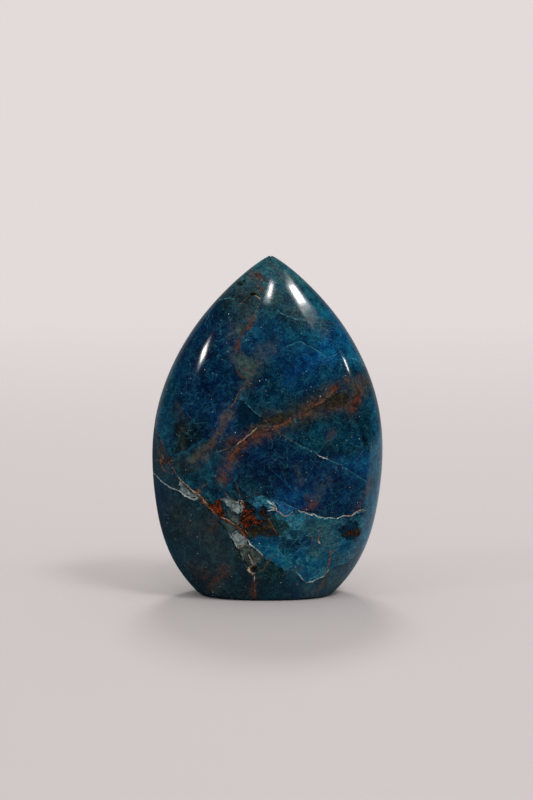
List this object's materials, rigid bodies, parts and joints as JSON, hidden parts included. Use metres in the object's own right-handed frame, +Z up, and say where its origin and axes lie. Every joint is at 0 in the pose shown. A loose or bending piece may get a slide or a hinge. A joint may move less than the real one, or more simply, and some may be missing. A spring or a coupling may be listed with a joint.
{
  "type": "blue apatite flame carving",
  "caption": "Polished blue apatite carved as a flat-sided pointed flame, with rusty veins and a flat foot, that stands on a shelf or desk as an ornament.",
  "frame": {"origin": "middle of the foot's flat face, on the surface that the stone stands on", "axes": "+Z up to the tip, -Y out of the broad face that the picture shows, +X to the right as seen from the front"},
  "size_m": [0.0612, 0.0326, 0.09],
  "materials": {
    "polished_apatite": "hand polished, glossy"
  },
  "bodies": {
    "root": {"stone": "polished_apatite"}
  },
  "joints": []
}
